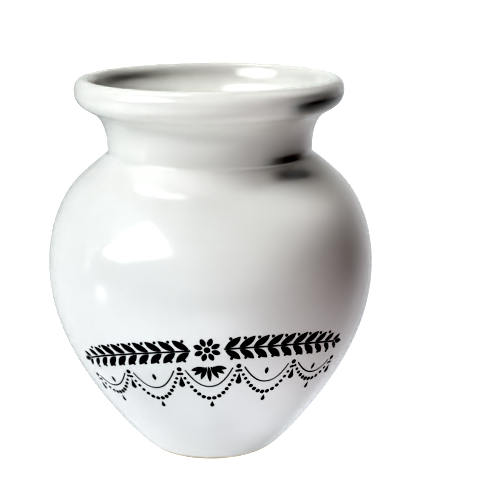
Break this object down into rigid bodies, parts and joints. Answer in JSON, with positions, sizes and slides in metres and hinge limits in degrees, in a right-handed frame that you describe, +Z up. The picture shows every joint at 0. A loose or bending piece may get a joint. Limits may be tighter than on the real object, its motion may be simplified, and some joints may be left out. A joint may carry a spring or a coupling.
{
  "type": "brush washer",
  "caption": "Open glazed ceramic water pot for rinsing paint brushes, with a rolled flared rim, a short neck, a round belly and a small turned foot.",
  "frame": {"origin": "centre of the foot ring, on the surface the pot stands on", "axes": "+Z up along the axis of the pot, towards its mouth; -Y towards the side that carries the decoration"},
  "size_m": [0.0782, 0.0782, 0.09],
  "materials": {
    "fired_clay": "bare fired clay, matt, slightly grainy",
    "white_glaze": "glossy white glaze",
    "base_glaze": "glossy white glaze, pooled",
    "black_ink": "fired black ceramic ink, slightly glossy"
  },
  "bodies": {
    "root": {"pot_body": "fired_clay", "glaze_coat": "white_glaze", "base_glaze": "base_glaze", "transfer_print": "black_ink"}
  },
  "joints": []
}
